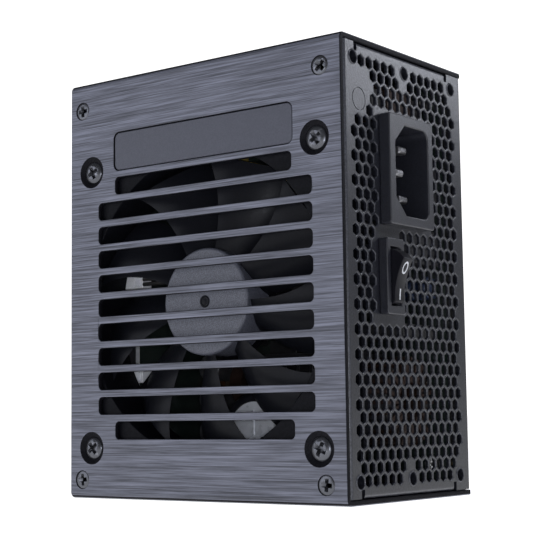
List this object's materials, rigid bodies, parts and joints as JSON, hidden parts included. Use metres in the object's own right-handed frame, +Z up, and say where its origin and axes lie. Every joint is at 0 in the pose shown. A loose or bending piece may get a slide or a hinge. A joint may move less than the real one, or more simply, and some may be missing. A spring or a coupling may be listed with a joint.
{
  "type": "computer power supply unit",
  "caption": "Compact modular computer power supply with a slotted fan face, honeycomb rear panel, mains inlet and rocker switch.",
  "frame": {"origin": "centre of the long side wall that the unit stands on", "axes": "+Z up along the 125 mm length of the case, +X towards the mains side, -Y towards the fan face"},
  "size_m": [0.1093, 0.0636, 0.125],
  "materials": {
    "brushed_cover": "brushed and anodised dark blue-grey",
    "nameplate": "smooth satin slate grey",
    "black_powder_coat": "fine-textured black powder coat",
    "black_screw": "black zinc",
    "plated_steel": "zinc plated",
    "inlet_plastic": "moulded black",
    "pin_brass": "tin-plated brass",
    "rocker_plastic": "glossy black",
    "fan_plastic": "matte black",
    "rotor_plastic": "satin dark grey",
    "magnet": "dark bonded magnet",
    "bronze": "sintered bronze",
    "lamination": "stacked steel sheets",
    "copper": "enamelled copper",
    "board": "green glass-epoxy",
    "lead_black": "PVC insulation",
    "lead_green": "green PVC insulation",
    "film": "milky insulating film",
    "can_aluminium": "drawn aluminium",
    "capacitor_sleeve": "shrink sleeve",
    "ferrite": "dark ferrite",
    "yellow_tape": "yellow polyester tape",
    "blue_disc": "blue dipped ceramic",
    "black_epoxy": "moulded epoxy",
    "heatsink": "extruded aluminium",
    "white_nylon": "white nylon",
    "socket_nylon": "black nylon"
  },
  "bodies": {
    "casing": {"board_headers": "white_nylon", "board_screws": "plated_steel", "board_standoffs": "pin_brass", "bridge_rectifier": "black_epoxy", "capacitor_can": "can_aluminium", "capacitor_sleeve": "capacitor_sleeve", "chassis": "black_powder_coat", "control_board": "board", "cover_screws": "black_screw", "earth_lead": "lead_green", "fan_bearing": "bronze", "fan_board": "board", "fan_cover": "brushed_cover", "fan_frame": "fan_plastic", "fan_lead": "lead_black", "fan_screws": "black_screw", "fuse": "plated_steel", "inlet_housing": "inlet_plastic", "inlet_pins": "pin_brass", "insulation_sheet": "film", "line_choke_core": "ferrite", "line_choke_windings": "copper", "link_bars": "copper", "main_board": "board", "mains_leads": "lead_black", "modular_board": "board", "nameplate": "nameplate", "output_capacitors": "can_aluminium", "output_chokes": "copper", "pfc_choke_core": "ferrite", "pfc_choke_winding": "copper", "power_transistors": "black_epoxy", "primary_heatsink": "heatsink", "relay": "black_epoxy", "secondary_heatsink": "heatsink", "socket_10_pin": "socket_nylon", "socket_12_pin": "socket_nylon", "socket_18_pin": "socket_nylon", "socket_6_pin_1": "socket_nylon", "socket_6_pin_2": "socket_nylon", "socket_6_pin_3": "socket_nylon", "socket_8_pin_1": "socket_nylon", "socket_8_pin_2": "socket_nylon", "socket_8_pin_3": "socket_nylon", "socket_8_pin_4": "socket_nylon", "socket_pins": "pin_brass", "standby_core": "ferrite", "standby_winding": "yellow_tape", "stator_coils": "copper", "stator_core": "lamination", "switch_body": "inlet_plastic", "switch_terminals": "pin_brass", "transformer_core": "ferrite", "transformer_winding": "yellow_tape", "x_capacitors": "yellow_tape", "y_capacitors": "blue_disc"},
    "fan_rotor_body": {"fan_rotor": "rotor_plastic", "rotor_magnet_ring": "magnet", "fan_shaft": "plated_steel"},
    "rocker": {"switch_rocker": "rocker_plastic"}
  },
  "joints": [
    {"name": "fan_spin", "type": "hinge", "parent": "casing", "child": "fan_rotor_body", "pos_m": [0, -0.022, 0.056], "axis": [0, 1, 0], "continuous": true},
    {"name": "rocker_tilt", "type": "hinge", "parent": "casing", "child": "rocker", "pos_m": [0.0505, -0.0106, 0.0607], "axis": [0, -1, 0], "range_deg": [0, 30]}
  ]
}
